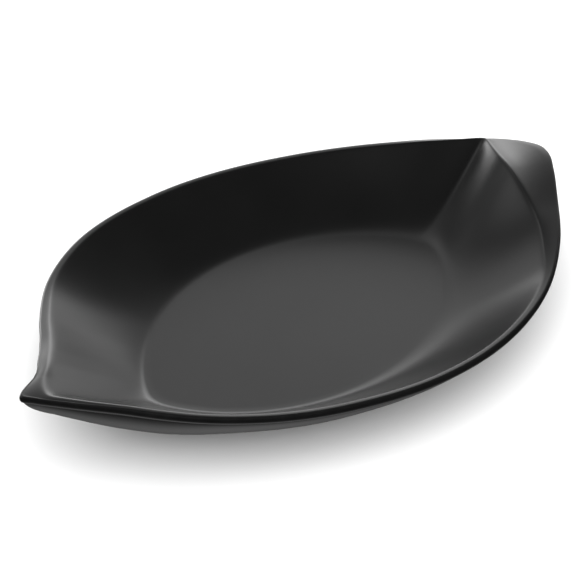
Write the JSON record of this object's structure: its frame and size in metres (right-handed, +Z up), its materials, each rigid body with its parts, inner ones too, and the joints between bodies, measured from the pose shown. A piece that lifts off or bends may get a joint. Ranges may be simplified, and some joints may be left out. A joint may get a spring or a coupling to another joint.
{
  "type": "leaf-shaped serving dish",
  "caption": "Shallow leaf-shaped serving dish with a flat pointed-oval well, sweeping walls, twisted leaf outline and turned-out lips at both pointed ends.",
  "frame": {"origin": "centre of the box in plan, on the plane the foot ring stands on", "axes": "+X along the leaf from the slim end to the broad end, +Y across the leaf, +Z up out of the well"},
  "size_m": [0.3112, 0.201, 0.0425],
  "materials": {
    "satin_black_melamine": "satin"
  },
  "bodies": {
    "root": {"dish": "satin_black_melamine"}
  },
  "joints": []
}
